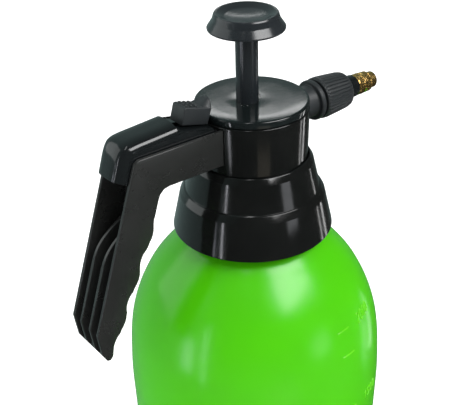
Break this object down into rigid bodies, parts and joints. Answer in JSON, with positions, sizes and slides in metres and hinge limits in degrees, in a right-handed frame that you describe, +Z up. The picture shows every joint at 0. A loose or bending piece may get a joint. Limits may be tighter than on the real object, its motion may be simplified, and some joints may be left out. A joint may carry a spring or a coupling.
{
  "type": "pump sprayer",
  "caption": "Hand pressure sprayer: green bottle, screw-on black head with air pump, comb handle, thumb trigger with lock and adjustable brass nozzle.",
  "frame": {"origin": "centre of the bottle's flat base", "axes": "+Z up along the bottle, +X towards the nozzle, the handle towards -X"},
  "size_m": [0.1666, 0.1242, 0.3314],
  "materials": {
    "bottle_green": "vivid green blow-moulded polyethylene, glossy, slightly translucent",
    "black_gloss": "black injection-moulded plastic, glossy",
    "black_satin": "black injection-moulded plastic, satin",
    "natural_plastic": "natural polyethylene, milky",
    "rubber": "black nitrile rubber",
    "brass": "turned and knurled brass",
    "steel": "stainless steel wire and rod"
  },
  "bodies": {
    "bottle": {"tank": "bottle_green"},
    "head": {"head_gasket": "rubber", "head_body": "black_satin", "head_lid": "black_gloss", "dip_tube": "natural_plastic", "strainer": "natural_plastic", "outlet_hose": "natural_plastic", "rod_bush": "black_satin", "pump_barrel": "black_satin", "barrel_cap": "black_satin", "check_valve": "rubber", "valve_gland": "black_satin", "gland_oring": "rubber", "valve_spring": "steel", "trigger_spring": "steel", "outlet_stub": "black_gloss", "nozzle_gasket": "rubber", "nozzle_stem": "black_gloss", "tip_oring": "rubber"},
    "collar": {"collar_nut": "black_gloss"},
    "plunger": {"pump_rod": "black_gloss", "pump_knob": "black_gloss", "piston": "black_satin", "piston_seal": "rubber"},
    "trigger": {"trigger_lever": "black_gloss"},
    "lock": {"lock_slider": "black_gloss"},
    "valve": {"valve_stem": "steel", "valve_seal": "rubber"},
    "nozzle_ring": {"nozzle_nut": "black_satin"},
    "tip": {"brass_tip": "brass", "swirl_core": "brass"}
  },
  "joints": [
    {"name": "head_lift", "type": "slide", "parent": "bottle", "child": "head", "axis": [0, 0, 1], "range_m": [0, 0.245]},
    {"name": "collar_turn", "type": "hinge", "parent": "head", "child": "collar", "pos_m": [0, 0, 0.229], "axis": [0, 0, 1], "range_deg": [0, 450]},
    {"name": "pump_slide", "type": "slide", "parent": "head", "child": "plunger", "axis": [0, 0, 1], "range_m": [-0.0325, 0.03]},
    {"name": "trigger_hinge", "type": "hinge", "parent": "head", "child": "trigger", "pos_m": [-0.032, 0, 0.2835], "axis": [0, -1, 0], "range_deg": [0, 8.5], "stiffness_Nm_per_rad": 2.4, "springref_deg": -5.73, "deforming": ["trigger_spring"]},
    {"name": "lock_slide", "type": "slide", "parent": "trigger", "child": "lock", "axis": [-0.9676, 0, 0.2526], "range_m": [0, 0.003]},
    {"name": "valve_slide", "type": "slide", "parent": "head", "child": "valve", "axis": [1, 0, 0], "range_m": [0, 0.00102], "deforming": ["valve_spring"]},
    {"name": "nozzle_nut_turn", "type": "hinge", "parent": "head", "child": "nozzle_ring", "pos_m": [0.045, 0, 0.28], "axis": [1, 0, 0], "range_deg": [0, 360]},
    {"name": "tip_turn", "type": "hinge", "parent": "head", "child": "tip", "pos_m": [0.069, 0, 0.28], "axis": [1, 0, 0], "range_deg": [0, 360]}
  ],
  "couplings": [
    {"joint": "valve_slide", "follows": "trigger_hinge", "m_per_rad": 0.0069}
  ]
}
